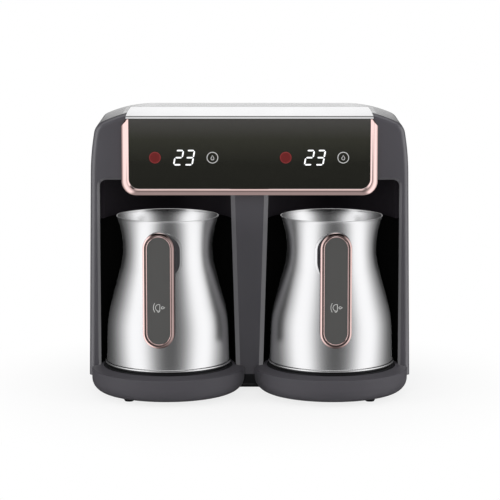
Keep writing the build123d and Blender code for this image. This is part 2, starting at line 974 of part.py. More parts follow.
def terminal_block():
    back = power_board_depth / 2 - terminal_inset
    width, depth, height = terminal_size
    block = on_board(terminal_x, back, terminal_size)
    pitch = width / terminal_count
    for step in range(terminal_count):
        x = terminal_x + (step - (terminal_count - 1) / 2) * pitch
        well = Pos(x, power_board_y + back) * Circle(pitch / 4)
        block -= prism(well, board_top + height / 2, board_top + height + cut_past)
    return block


def buzzer():
    floor = board_top + buzzer_floor
    body = ring(buzzer_radius, buzzer_hole, floor, board_top + buzzer_height)
    body += prism(Circle(buzzer_radius), board_top, floor)
    return Pos(buzzer_x, power_board_y, 0) * body


def ribbon():
    # from the display board back through both windows, down behind the column, to the power board
    start_y = board_y + board_thickness
    down_y = front_y + ribbon_behind
    end_y = power_board_front + ribbon_landing
    low = board_top + ribbon_bend * 2 + ribbon_rise
    path = FilletPolyline(
        (0, start_y, panel_middle),
        (0, down_y, panel_middle),
        (0, down_y, low),
        (0, end_y, low),
        (0, end_y, board_top),
        radius=ribbon_bend,
    )
    start = Plane(origin=(0, start_y, panel_middle), x_dir=(1, 0, 0), z_dir=(0, 1, 0))
    return sweep(start * Rectangle(ribbon_width, ribbon_thickness), path)


# Pots

def vessel_curve(inset):
    # the wall from rim to foot: an upper arc, a lower arc, a cone, a belly arc and a steep skirt
    waist = Vector(waist_radius - inset, pot_low + waist_height)
    rim_drop = pot_height - waist_height
    flare = rim_radius - waist_radius
    upper_radius = (rim_drop ** 2 + flare ** 2) / (2 * flare) + inset
    cone = radians(cone_angle)
    skirt = radians(foot_angle)
    neck = lower_neck_radius + inset
    belly = belly_radius - inset
    foot_z = pot_low + foot_ring_height
    foot_r = foot_ring_radius - inset / cos(skirt)
    fixed_out = neck * (1 - cos(cone)) + belly * (cos(skirt) - cos(cone))
    fixed_down = neck * sin(cone) + belly * (sin(cone) - sin(skirt))
    left_out = foot_r - waist.X - fixed_out
    left_down = waist.Y - foot_z - fixed_down
    cone_run = (left_out - left_down * tan(skirt)) / (sin(cone) - cos(cone) * tan(skirt))
    upper = ThreePointArc(*upper_arc_points(waist, upper_radius, rim_drop))
    lower = JernArc(waist, (0, -1), neck, cone_angle)
    straight = PolarLine(lower @ 1, cone_run, direction=lower % 1)
    bulge = JernArc(straight @ 1, straight % 1, belly, foot_angle - cone_angle)
    skirt_line = Line(bulge @ 1, (foot_r, foot_z))
    return [upper, lower, straight, bulge, skirt_line]


def upper_arc_points(waist, radius, drop):
    # rim, middle and waist of the arc that flares out to the rim
    def point(up):
        return (waist.X + radius - sqrt(radius ** 2 - up ** 2), waist.Y + up)
    return point(drop), point(drop / 2), point(0)


def vessel_solid(inset, floor):
    # the space inside the wall's curve, down to a floor height
    curve = vessel_curve(inset)
    rim = curve[0] @ 0
    foot = curve[-1] @ 1
    lines = curve + [Polyline(foot, (foot.X, floor), (0, floor), (0, rim.Y), rim)]
    return revolve(Plane.XZ * make_face(Curve() + lines), Axis.Z)


def pot_vessel():
    # thin wall, flat bottom and a rolled bead round the foot
    low = pot_low + bead_low
    inside = vessel_solid(pot_wall, core_top + pot_wall)
    body = vessel_solid(0, core_top) - inside
    bead = ring(bead_radius, core_radius + core_gap, low, low + bead_height)
    bead = fillet(bead.edges().filter_by(is_bead_edge), bead_round)
    return body + (bead - inside)


def is_bead_edge(edge):
    return edge.bounding_box().max.X > bead_radius - tiny


def pot_core():
    # the thick disc under the pot that takes up the heat
    disc = prism(Circle(core_radius), pot_low, core_top)
    return chamfer(disc.edges().group_by(Axis.Z)[0], core_edge)


def pill(low, length, width):
    return Pos(0, pot_low + low + length / 2) * SlotOverall(length, width, rotation=90)


def handle_pill(shrink):
    return pill(grip_low + shrink, grip_length - 2 * shrink, grip_width - 2 * shrink)


def bracket_pill(grow):
    return pill(bracket_low - grow, bracket_length + 2 * grow, bracket_width + 2 * grow)


def screw_heights():
    middle = pot_low + bracket_low + bracket_length / 2
    return [middle - handle_screw_spacing / 2, middle + handle_screw_spacing / 2]


def bored(body, radius, front, back):
    for z in screw_heights():
        body -= slab(Pos(0, z) * Circle(radius), front, back)
    return body


def vessel_outside(grow):
    return vessel_solid(-grow, pot_low)


def handle_escutcheon():
    # a thin steel collar on the vessel, round the foot of the bracket
    collar = slab(bracket_pill(escutcheon_rim) - bracket_pill(handle_part_gap), -handle_back, 0)
    return (collar & vessel_outside(escutcheon_thickness)) - vessel_outside(bracket_wall_gap)


def handle_bracket():
    body = slab(bracket_pill(0), -handle_back, 0) - vessel_outside(bracket_wall_gap)
    return bored(body, handle_screw_radius + handle_screw_gap, -handle_back - cut_past, 0)


def handle_grip():
    trim_back = handle_trim_depth - handle_reach
    body = slab(handle_pill(0), trim_back, -handle_back)
    body = fillet(body.edges().group_by(Axis.Y)[-1], grip_back_round)
    body += slab(handle_pill(handle_trim_width + handle_part_gap), face_back, trim_back)
    head_back = face_back + handle_screw_head_depth
    body = bored(body, handle_screw_radius + handle_screw_gap, -handle_reach, 0)
    return bored(body, handle_screw_head + handle_screw_gap, -handle_reach, head_back)


def handle_trim():
    back = handle_trim_depth - handle_reach
    body = slab(handle_pill(0) - handle_pill(handle_trim_width), -handle_reach, back)
    return fillet(body.edges().group_by(Axis.Y)[0], handle_trim_round)


def handle_face():
    front = face_recess - handle_reach
    return slab(handle_pill(handle_trim_width + handle_part_gap), front, front + face_thickness)


def handle_screws():
    screws = Part()
    head_back = face_back + handle_screw_head_depth
    shank_back = -waist_radius - handle_screw_wall_gap
    for z in screw_heights():
        head = slab(Pos(0, z) * Circle(handle_screw_head), face_back + handle_part_gap, head_back)
        shank = slab(Pos(0, z) * Circle(handle_screw_radius), head_back, shank_back)
        screws += head + shank
    return screws


def pot_pieces(side):
    makers = {
        "pot_vessel": pot_vessel,
        "pot_core": pot_core,
        "handle_escutcheon": handle_escutcheon,
        "handle_bracket": handle_bracket,
        "handle_grip": handle_grip,
        "handle_trim": handle_trim,
        "handle_face": handle_face,
        "handle_screws": handle_screws,
    }
    turned = Rot(0, 0, handle_turns[side])
    return {name + "_" + side: at_bay(side, turned * make()) for name, make in makers.items()}


def all_pieces():
    red, white = key_places()
    pieces = {
        "housing_shell": housing_shell(),
        "rear_cover": rear_cover(),
        "rear_screws": rear_screws(),
        "cord_gland": cord_gland(),
        "plinth": plinth(),
        "bottom_plate": bottom_plate(),
        "bottom_screws": bottom_screws(),
        "rubber_feet": rubber_feet(),
        "column_cover": column(),
        "panel_frame": panel_frame(),
        "panel_glass": panel_glass(),
        "panel_carrier": panel_carrier(),
        "panel_top_trim": top_trim(),
        "display_board": display_board(),
        "display_modules": display_modules(),
        "touch_pads": touch_pads(),
        "key_rings_red": key_rings(red),
        "key_rings_white": key_rings(white),
        "digit_segments": digit_segments(),
        "power_board": power_board(),
        "board_standoffs": board_standoffs(),
        "transformer": transformer(),
        "relays": relays(),
        "terminal_block": terminal_block(),
        "buzzer": buzzer(),
        "ribbon_cable": ribbon(),
    }
    for side in sides:
        pieces["bay_liner_" + side] = bay_liner(side)
        pieces["bay_hood_" + side] = bay_hood(side)
        pieces["steam_sensor_" + side] = steam_sensor(side)
        pieces["pad_" + side] = pad(side)
        pieces["hot_plate_" + side] = hot_plate(side)
        pieces["plate_seal_" + side] = plate_seal(side)
        pieces["heater_element_" + side] = heater(side)
        pieces["plate_sensor_" + side] = plate_sensor(side)
        pieces.update(pot_pieces(side))
    return pieces


os.makedirs("parts", exist_ok=True)
for name, piece in all_pieces().items():
    export_step(piece, "parts/" + name + ".step")
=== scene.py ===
import bpy
import json
from math import atan2, cos, hypot, pi, radians, sin, sqrt, tan
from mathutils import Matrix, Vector

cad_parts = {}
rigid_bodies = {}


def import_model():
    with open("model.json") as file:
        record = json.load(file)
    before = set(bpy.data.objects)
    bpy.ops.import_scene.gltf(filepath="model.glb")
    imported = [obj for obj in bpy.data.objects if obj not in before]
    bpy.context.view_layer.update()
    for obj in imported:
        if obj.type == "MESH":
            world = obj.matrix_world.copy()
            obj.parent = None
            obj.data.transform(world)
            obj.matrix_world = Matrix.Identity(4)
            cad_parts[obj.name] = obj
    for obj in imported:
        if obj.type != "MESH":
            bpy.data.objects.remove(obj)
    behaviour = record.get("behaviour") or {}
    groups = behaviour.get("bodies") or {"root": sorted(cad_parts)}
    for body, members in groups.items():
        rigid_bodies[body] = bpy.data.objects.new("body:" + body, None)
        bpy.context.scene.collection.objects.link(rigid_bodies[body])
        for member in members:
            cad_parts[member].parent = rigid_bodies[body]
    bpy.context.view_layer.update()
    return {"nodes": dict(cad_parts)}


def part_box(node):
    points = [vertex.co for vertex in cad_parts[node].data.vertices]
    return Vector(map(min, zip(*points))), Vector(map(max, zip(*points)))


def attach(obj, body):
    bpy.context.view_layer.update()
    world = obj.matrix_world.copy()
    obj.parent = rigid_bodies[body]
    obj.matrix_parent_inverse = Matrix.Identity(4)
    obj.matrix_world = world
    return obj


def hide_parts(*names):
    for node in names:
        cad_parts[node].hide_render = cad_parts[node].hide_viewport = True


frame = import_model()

cadNodes = frame["nodes"]
print("frame loaded with", len(cadNodes), "nodes")

# places that every piece shares, all read from the frame
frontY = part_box("housing_shell")[0].y
sideNames = ("left", "right")
bayX = {side: sum(corner.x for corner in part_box("pot_core_" + side)) / 2 for side in sideNames}
vesselLow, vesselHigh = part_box("pot_vessel_right")
beadRadius = (vesselHigh.x - vesselLow.x) / 2
potTop = vesselHigh.z
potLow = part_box("pot_core_right")[0].z


# camera: a long lens a little above the machine, as in the photograph
cameraSetup = {
    "distance": 2.05,            # from the front of the housing
    "height": 0.43,
    "sideways": 0.0004,
    "pitch": 8.37,               # degrees downwards
    "lens": 168.4,
    "sensor": 36.0,
    "sees": (0.05, 50.0),        # nearest and farthest distance
}

def addCamera(setup):
    data = bpy.data.cameras.new("camera")
    data.lens = setup["lens"]
    data.sensor_width = setup["sensor"]
    data.clip_start, data.clip_end = setup["sees"]
    camera = bpy.data.objects.new("camera", data)
    bpy.context.scene.collection.objects.link(camera)
    camera.location = (setup["sideways"], frontY - setup["distance"], setup["height"])
    camera.rotation_euler = (radians(90 - setup["pitch"]), 0, 0)
    bpy.context.scene.camera = camera

addCamera(cameraSetup)
print("camera placed")


# small helpers for shader nodes

def startMaterial(name):
    material = bpy.data.materials.new(name)
    material.use_nodes = True
    tree = material.node_tree
    return material, tree, tree.nodes["Principled BSDF"]

def addNode(tree, kind, inputs=None, **settings):
    node = tree.nodes.new(kind)
    for key, value in settings.items():
        setattr(node, key, value)
    for key, value in (inputs or {}).items():
        socket = node.inputs[key]
        if isinstance(value, bpy.types.NodeSocket):
            tree.links.new(value, socket)
        else:
            socket.default_value = value
    return node

def objectPlace(tree):
    return addNode(tree, "ShaderNodeTexCoord").outputs["Object"]

def axesOf(tree, vector):
    return addNode(tree, "ShaderNodeSeparateXYZ", {0: vector}).outputs

def mathNode(tree, operation, first, second=0.0):
    return addNode(tree, "ShaderNodeMath", {0: first, 1: second}, operation=operation).outputs[0]

def negated(tree, value):
    return mathNode(tree, "MULTIPLY", value, -1.0)

def rangeNode(tree, value, low, high):
    # spreads a 0 to 1 value between two numbers
    inputs = {"Value": value, "To Min": low, "To Max": high}
    return addNode(tree, "ShaderNodeMapRange", inputs).outputs["Result"]

def unevenNode(tree, pattern, middle, spread):
    # a number that the pattern moves up and down
    return rangeNode(tree, pattern, middle - spread, middle + spread)

def smoothStep(tree, value, start, end):
    # 0 up to the start, 1 from the end on, and an even curve between
    inputs = {"Value": value, "From Min": start, "From Max": end}
    return addNode(tree, "ShaderNodeMapRange", inputs, interpolation_type="SMOOTHSTEP").outputs["Result"]

# sockets of a mix node: its factor, the two values and the result
mixSockets = {"FLOAT": (0, 2, 3, 0), "RGBA": (0, 6, 7, 2)}

def mixNode(tree, factor, first, second, kind="FLOAT"):
    factorSocket, firstSocket, secondSocket, resultSocket = mixSockets[kind]
    inputs = {factorSocket: factor, firstSocket: first, secondSocket: second}
    return addNode(tree, "ShaderNodeMix", inputs, data_type=kind).outputs[resultSocket]

def rampNode(tree, factor, stops):
    # stops are (position, colour) pairs in rising order
    node = addNode(tree, "ShaderNodeValToRGB", {"Fac": factor})
    ramp = node.color_ramp
    middle = 0.5    # where new stops start, before all are placed
    while len(ramp.elements) < len(stops):
        ramp.elements.new(middle)
    for element, (position, colour) in zip(ramp.elements, stops):
        element.position = position
        element.color = (*colour, 1)
    return node.outputs["Color"]

def tinted(colour, factor):
    return tuple(min(1.0, channel * factor) for channel in colour)

def shaded(tree, pattern, colour, span, shades):
    # two shades of a colour, at the two ends of a span of the pattern
    stops = [(position, tinted(colour, shade)) for position, shade in zip(span, shades)]
    return rampNode(tree, pattern, stops)

def noiseNode(tree, place, scale, detail, roughness=0.5):
    inputs = {"Vector": place, "Scale": scale, "Detail": detail, "Roughness": roughness}
    return addNode(tree, "ShaderNodeTexNoise", inputs).outputs["Fac"]

def bumpNode(tree, height, strength, distance):
    inputs = {"Height": height, "Strength": strength, "Distance": distance}
    return addNode(tree, "ShaderNodeBump", inputs).outputs["Normal"]

def setShader(tree, shader, **values):
    names = {
        "colour": "Base Color", "rough": "Roughness", "metal": "Metallic", "normal": "Normal",
        "coat": "Coat Weight", "coatRough": "Coat Roughness", "ior": "IOR", "brush": "Anisotropic",
        "glow": "Emission Color", "glowStrength": "Emission Strength", "gloss": "Specular IOR Level",
    }
    for key, value in values.items():
        socket = shader.inputs[names[key]]
        if isinstance(value, bpy.types.NodeSocket):
            tree.links.new(value, socket)
        else:
            socket.default_value = (*value, 1) if isinstance(value, tuple) else value


# satin plastic: fine mould grain, faint flow unevenness in tone and gloss
plasticDetail = {
    "flow": (9.0, 3.0),          # scale and detail of its noise, here and below
    "flowSpan": (0.3, 0.7),      # the part of the noise over which the tone changes
    "grain": (2600.0, 2.0),
    "grainStrength": 0.25,
    "grainDepth": 0.00004,
    "gloss": (60.0, 4.0),
    "glossSpread": 0.04,
    "coatRough": 0.05,
}

def mouldedPlastic(name, colour, rough, unevenness=0.08, coat=0.0, shine=0.5):
    detail = plasticDetail
    material, tree, shader = startMaterial(name)
    place = objectPlace(tree)
    flow = noiseNode(tree, place, *detail["flow"])
    tone = shaded(tree, flow, colour, detail["flowSpan"], (1 - unevenness, 1 + unevenness))
    grain = noiseNode(tree, place, *detail["grain"])
    normal = bumpNode(tree, grain, detail["grainStrength"], detail["grainDepth"])
    gloss = unevenNode(tree, noiseNode(tree, place, *detail["gloss"]), rough, detail["glossSpread"])
    setShader(tree, shader, colour=tone, rough=gloss, normal=normal)
    setShader(tree, shader, coat=coat, coatRough=detail["coatRough"], gloss=shine)
    return material

# steel brushed round a standing axis: long streaks round it, fine lines up it
steelDetail = {
    "rough": 0.25,
    "roughSpread": 0.02,
    "lineScale": 2600.0,
    "streakScale": 1.2,
    "stroke": (1.0, 4.0, 0.6),   # scale, detail and roughness of its noise
    "strokeSpan": (0.25, 0.75),
    "shades": (0.98, 1.02),
    "brush": 0.6,
}

def brushedSteel(name, colour):
    detail = steelDetail
    material, tree, shader = startMaterial(name)
    axes = axesOf(tree, objectPlace(tree))
    angle = mathNode(tree, "ARCTAN2", axes["Y"], axes["X"])
    around = mathNode(tree, "MULTIPLY", angle, detail["streakScale"])
    upwards = mathNode(tree, "MULTIPLY", axes["Z"], detail["lineScale"])
    lines = addNode(tree, "ShaderNodeCombineXYZ", {0: around, 1: upwards}).outputs[0]
    stroke = noiseNode(tree, lines, *detail["stroke"])
    tone = shaded(tree, stroke, colour, detail["strokeSpan"], detail["shades"])
    gloss = unevenNode(tree, stroke, detail["rough"], detail["roughSpread"])
    setShader(tree, shader, colour=tone, rough=gloss, metal=1.0, brush=detail["brush"])
    return material

# smooth metal with a faint haze of handling
metalDetail = {
    "haze": (45.0, 5.0),
    "hazeSpan": (0.3, 0.7),
    "shades": (0.97, 1.02),
}

def polishedMetal(name, colour, rough, haze=0.03):
    detail = metalDetail
    material, tree, shader = startMaterial(name)
    pattern = noiseNode(tree, objectPlace(tree), *detail["haze"])
    tone = shaded(tree, pattern, colour, detail["hazeSpan"], detail["shades"])
    gloss = unevenNode(tree, pattern, rough, haze)
    setShader(tree, shader, colour=tone, rough=gloss, metal=1.0)
    return material

# back-printed glass, with a painted reflection that makes it paler towards its upper edge
glassDetail = {
    "lowColour": (0.012, 0.012, 0.009),
    "highColour": (0.060, 0.058, 0.055),
    "rise": ((0.0, 1.0), (0.35, 1.1), (0.7, 2.3)),    # share of the height, times the low colour
    "smear": (30.0, 4.0),
    "rough": (0.07, 0.11),
    "ior": 1.5,
}

def darkGlass(name):
    detail = glassDetail
    material, tree, shader = startMaterial(name)
    low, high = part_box("panel_glass")
    # painted reflection: the glass's colour turns paler with height, up to its top edge
    height = axesOf(tree, objectPlace(tree))["Z"]
    inputs = {"Value": height, "From Min": low.z, "From Max": high.z}
    rise = addNode(tree, "ShaderNodeMapRange", inputs).outputs["Result"]
    stops = [(share, tinted(detail["lowColour"], factor)) for share, factor in detail["rise"]]
    tone = rampNode(tree, rise, stops + [(1.0, detail["highColour"])])
    gloss = rangeNode(tree, noiseNode(tree, objectPlace(tree), *detail["smear"]), *detail["rough"])
    setShader(tree, shader, colour=tone, rough=gloss, ior=detail["ior"])
    return material

# an even glow with the faint mottling of a diffuser
lightDetail = {
    "mottle": (900.0, 2.0),
    "mottleSpan": (0.2, 0.8),
    "shades": (0.94, 1.0),
    "unlit": 0.6,                # share of the colour that the surface has by itself
    "rough": 0.4,
}

def litMark(name, colour, strength):
    detail = lightDetail
    material, tree, shader = startMaterial(name)
    mottle = noiseNode(tree, objectPlace(tree), *detail["mottle"])
    glow = shaded(tree, mottle, colour, detail["mottleSpan"], detail["shades"])
    setShader(tree, shader, colour=tinted(colour, detail["unlit"]), rough=detail["rough"])
    setShader(tree, shader, glow=glow, glowStrength=strength)
    return material

# rubber: a fine grain, and a trace of dust
rubberDetail = {
    "dust": (25.0, 5.0),
    "dustSpan": (0.4, 0.8),
    "shades": (1.0, 1.8),
    "grain": (1500.0, 3.0),
    "grainStrength": 0.3,
    "grainDepth": 0.00006,
    "rough": 0.75,
    "shine": 0.1,
}

def mouldedRubber(name, colour):
    detail = rubberDetail
    material, tree, shader = startMaterial(name)
    place = objectPlace(tree)
    dust = noiseNode(tree, place, *detail["dust"])
    tone = shaded(tree, dust, colour, detail["dustSpan"], detail["shades"])
    grain = noiseNode(tree, place, *detail["grain"])
    normal = bumpNode(tree, grain, detail["grainStrength"], detail["grainDepth"])
    setShader(tree, shader, colour=tone, rough=detail["rough"], normal=normal, gloss=detail["shine"])
    return material

# circuit board: solder mask over a fine copper pattern
boardDetail = {
    "trackScale": 160.0,
    "trackWidth": 0.03,
    "trackSpan": (0.0, 1.0),
    "shades": (1.0, 1.7),
    "rough": 0.3,
    "coat": 0.4,
    "coatRough": 0.15,
}

def boardLaminate(name, colour):
    detail = boardDetail
    material, tree, shader = startMaterial(name)
    inputs = {
        "Vector": objectPlace(tree), "Scale": detail["trackScale"], "Mortar Size": detail["trackWidth"],
    }
    tracks = addNode(tree, "ShaderNodeTexBrick", inputs).outputs["Fac"]
    tone = shaded(tree, tracks, colour, detail["trackSpan"], detail["shades"])
    setShader(tree, shader, colour=tone, rough=detail["rough"])
    setShader(tree, shader, coat=detail["coat"], coatRough=detail["coatRough"])
    return material


# finishes
finishes = {
    "housingGrey": mouldedPlastic("housing_grey_plastic", (0.067, 0.064, 0.074), rough=0.38, coat=0.85),
    "padGrey": mouldedPlastic("pad_grey_plastic", (0.070, 0.067, 0.0755), rough=0.42, shine=0.1),
    "hoodGrey": mouldedPlastic("hood_grey_plastic", (0.015, 0.013, 0.016), rough=0.5, shine=0.03),
    # black plastic for the carrier, display modules and buzzer; on the bay liners it is painted shade, a
    # darker copy of the hood's grey plastic deeper in the bays
    "blackAndBayShade": mouldedPlastic("black_plastic_and_bay_shade", (0.005, 0.005, 0.005), rough=0.6, shine=0.0),
    "coverBlack": mouldedPlastic("cover_black_plastic", (0.022, 0.021, 0.024), rough=0.48),
    "plinthBlack": mouldedPlastic("plinth_black_plastic", (0.009, 0.009, 0.010), rough=0.5, shine=0.1),
    "handleDark": mouldedPlastic("handle_dark_plastic", (0.055, 0.053, 0.058), rough=0.4),
    "handleFace": mouldedPlastic("handle_face_plastic", (0.066, 0.065, 0.063), rough=0.5, unevenness=0.03),
    "ribbon": mouldedPlastic("ribbon_plastic", (0.32, 0.32, 0.33), rough=0.5),
    "terminalGreen": mouldedPlastic("terminal_plastic", (0.03, 0.2, 0.06), rough=0.4),
    "printWhite": mouldedPlastic("print_white", (0.55, 0.55, 0.54), rough=0.5, unevenness=0.02),
    "roseGold": polishedMetal("rose_gold_plating", (0.76, 0.55, 0.525), rough=0.12),
    "brightTrim": polishedMetal("bright_trim_plating", (0.93, 0.93, 0.94), rough=0.1),
    "collarSteel": polishedMetal("polished_collar_steel", (0.82, 0.82, 0.83), rough=0.08, haze=0.02),
    "plainSteel": polishedMetal("plain_steel", (0.55, 0.55, 0.56), rough=0.32),
    "brass": polishedMetal("turned_brass", (0.78, 0.58, 0.28), rough=0.28),
    # the hot plates' dark coat, darkened further as painted shade in the gap under the pots; on the pot
    # cores this dark is painted shade alone
    "coatedPlateAndGapShade": polishedMetal("coated_plate_and_gap_shade", (0.022, 0.022, 0.024), rough=0.45),
    "potSteel": brushedSteel("brushed_pot_steel", (0.70, 0.70, 0.71)),
    "rubber": mouldedRubber("black_rubber", (0.010, 0.010, 0.011)),
    "board": boardLaminate("board_laminate", (0.015, 0.09, 0.035)),
    "glass": darkGlass("back_printed_glass"),
    "litWhite": litMark("lit_white", (0.95, 0.96, 0.97), strength=0.95),
    "litRed": litMark("lit_red", (0.20, 0.020, 0.021), strength=0.9),
    "redDisc": litMark("dim_red", (0.088, 0.006, 0.006), strength=0.9),
    "ringWhite": litMark("ring_white", (0.50, 0.50, 0.50), strength=0.9),
}
print("finishes made:", len(finishes))


# carried-over nodes take their finish here
nodeFinishes = {
    "housing_shell": "housingGrey", "column_cover": "housingGrey", "rear_cover": "coverBlack",
    "plinth": "plinthBlack", "bottom_plate": "plinthBlack", "panel_carrier": "blackAndBayShade",
    "panel_frame": "roseGold", "panel_top_trim": "brightTrim", "panel_glass": "glass",
    "digit_segments": "litWhite", "key_rings_white": "ringWhite", "key_rings_red": "litRed",
    "display_board": "board", "power_board": "board", "display_modules": "blackAndBayShade",
    "touch_pads": "rubber", "board_standoffs": "brass", "transformer": "plainSteel",
    "relays": "coverBlack", "terminal_block": "terminalGreen", "buzzer": "blackAndBayShade",
    "ribbon_cable": "ribbon", "cord_gland": "rubber", "rubber_feet": "rubber",
    "rear_screws": "plainSteel", "bottom_screws": "plainSteel",
}
sidedFinishes = {
    # the bay liners' black is painted shade
    "bay_liner": "blackAndBayShade", "bay_hood": "hoodGrey", "steam_sensor": "coverBlack", "pad": "padGrey",
    # hot plates and pot cores take this dark as painted shade in the gap under the pots
    "hot_plate": "coatedPlateAndGapShade", "plate_seal": "rubber", "heater_element": "plainSteel",
    "plate_sensor": "plainSteel", "pot_vessel": "potSteel", "pot_core": "coatedPlateAndGapShade",
    "handle_escutcheon": "collarSteel", "handle_bracket": "handleDark", "handle_grip": "handleDark",
    "handle_trim": "roseGold", "handle_face": "handleFace", "handle_screws": "plainSteel",
}
for base, finish in sidedFinishes.items():
    for side in sideNames:
        nodeFinishes[base + "_" + side] = finish

# an edge whose faces meet at more than its angle, in degrees, stays hard
edgeSetup = {
    "nodeAngle": 24,             # carried-over nodes
    "pieceAngle": 32,            # new pieces
    "weld": 0.000002,            # corners of a carried-over node that are this close are joined
}

def smoothGroup(setup):
    # welds the carried-over meshes and smooths all but their real edges
    group = bpy.data.node_groups.new("weld_and_smooth", "GeometryNodeTree")
    for way in ("INPUT", "OUTPUT"):
        group.interface.new_socket("Geometry", in_out=way, socket_type="NodeSocketGeometry")
    start = group.nodes.new("NodeGroupInput")
    finish = group.nodes.new("NodeGroupOutput")
    inputs = {"Geometry": start.outputs[0], "Distance": setup["weld"]}
    weld = addNode(group, "GeometryNodeMergeByDistance", inputs)
    inputs = {"Geometry": weld.outputs[0], "Shade Smooth": True}
    faces = addNode(group, "GeometryNodeSetShadeSmooth", inputs)
    angle = addNode(group, "GeometryNodeInputMeshEdgeAngle").outputs["Unsigned Angle"]
    inputs = {0: angle, 1: radians(setup["nodeAngle"])}
    real = addNode(group, "FunctionNodeCompare", inputs, data_type="FLOAT", operation="GREATER_THAN")
    inputs = {"Geometry": faces.outputs[0], "Selection": real.outputs["Result"], "Shade Smooth": False}
    edges = addNode(group, "GeometryNodeSetShadeSmooth", inputs, domain="EDGE")
    group.links.new(edges.outputs[0], finish.inputs[0])
    return group

def dressNodes(setup):
    group = smoothGroup(setup)
    for name, node in cadNodes.items():
        node.data.materials.clear()
        node.data.materials.append(finishes[nodeFinishes[name]])
        smoother = node.modifiers.new("weld and smooth", "NODES")
        smoother.node_group = group

dressNodes(edgeSetup)
print("carried-over nodes dressed")


# small helpers for new pieces

def addPiece(name, vertices, faces, finish, body, place=(0, 0, 0)):
    # vertices are about the piece's own origin
    mesh = bpy.data.meshes.new(name)
    mesh.from_pydata(vertices, [], faces)
    mesh.polygons.foreach_set("use_smooth", [True] * len(mesh.polygons))
    mesh.set_sharp_from_angle(angle=radians(edgeSetup["pieceAngle"]))
    mesh.materials.append(finishes[finish])
    piece = bpy.data.objects.new(name, mesh)
    bpy.context.scene.collection.objects.link(piece)
    piece.location = place
    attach(piece, body)
    return piece

def arcPoints(centre, radius, start, end, steps):
    # degrees, 0 to the right and 90 upwards
    angles = [radians(start + (end - start) * step / steps) for step in range(steps + 1)]
    return [(centre[0] + radius * cos(angle), centre[1] + radius * sin(angle)) for angle in angles]

def lathe(profile, steps):
    # turns (radius, height) points round the upright axis; both ends lie on the axis
    vertices = [(0, 0, profile[0][1]), (0, 0, profile[-1][1])]
    first = len(vertices)
    rings = profile[1:-1]
    for radius, height in rings:
        for step in range(steps):
            turn = 2 * pi * step / steps
            vertices.append((radius * cos(turn), radius * sin(turn), height))
    faces = []
    last = first + (len(rings) - 1) * steps
    for step in range(steps):
        after = (step + 1) % steps
        faces.append((0, first + after, first + step))
        faces.append((1, last + step, last + after))
        for row in range(len(rings) - 1):
            low = first + row * steps
            high = low + steps
            faces.append((low + step, low + after, high + after, high + step))
    return vertices, faces

def loft(rows, closed=False):
    # joins rows of equally many points
    count = len(rows[0])
    vertices = [point for row in rows for point in row]
    faces = []
    for row in range(len(rows) - 1):
        low = row * count
        high = low + count
        for step in range(count if closed else count - 1):
            after = (step + 1) % count
            faces.append((low + step, low + after, high + after, high + step))
    return vertices, faces

def closedStrip(rows):
    # rows are lines along a strip, in order round its section; both its ends are closed
    vertices, faces = loft(rows + rows[:1])
    count = len(rows[0])
    ends = [[row * count + place for row in range(len(rows))] for place in (0, count - 1)]
    return vertices, faces + [tuple(ends[0]), tuple(reversed(ends[1]))]


# pots: thin walls with a rolled rim, a crease and a bead round the foot
potShape = {
    "wall": 0.0008,
    "waistInset": 0.0164,        # waist inside the bead
    "waistHeight": 0.1034,
    "flare": 0.0058,
    "neckRadius": 0.060,
    "bellyRadius": 0.100,
    "coneAngle": 15.0,           # degrees from upright
    "skirtAngle": 2.0,
    "footInset": 0.0013,         # skirt inside the bead
    "footHeight": 0.0047,
    "floorHeight": 0.0026,
    "floorRound": 0.004,
    "beadRound": 0.0010,
    "beadLow": 0.0021,
    "coreInset": 0.0029,         # underside round the core, inside the bead
    "crease": 0.0003,
    "steps": {"round": 192, "flare": 24, "neck": 16, "belly": 20, "rim": 8, "bead": 10, "floor": 8},
}

def potWall(setup, inset):
    # from the rim down to the foot: flare, neck, cone, belly and skirt
    steps = setup["steps"]
    waist = beadRadius - setup["waistInset"] - inset
    waistZ = setup["waistHeight"]
    rise = potTop - potLow - waistZ
    flareRadius = (rise ** 2 + setup["flare"] ** 2) / (2 * setup["flare"]) + inset
    neck = setup["neckRadius"] + inset
    belly = setup["bellyRadius"] - inset
    cone = radians(setup["coneAngle"])
    skirt = radians(setup["skirtAngle"])
    foot = beadRadius - setup["footInset"] - inset / cos(skirt)
    out = foot - waist - neck * (1 - cos(cone)) - belly * (cos(skirt) - cos(cone))
    down = waistZ - setup["footHeight"] - neck * sin(cone) - belly * (sin(cone) - sin(skirt))
    run = (out - down * tan(skirt)) / (sin(cone) - cos(cone) * tan(skirt))
    points = []
    for step in range(steps["flare"] + 1):
        up = rise * (1 - step / steps["flare"])
        points.append((waist + flareRadius - sqrt(flareRadius ** 2 - up ** 2), waistZ + up))
    points += arcPoints((waist + neck, waistZ), neck, 180, 180 + setup["coneAngle"], steps["neck"])[1:]
    start = points[-1]
    end = (start[0] + run * sin(cone), start[1] - run * cos(cone))
    centre = (end[0] - belly * cos(cone), end[1] - belly * sin(cone))
    points += arcPoints(centre, belly, setup["coneAngle"], setup["skirtAngle"], steps["belly"])
    points.append((foot, setup["footHeight"]))
    return points

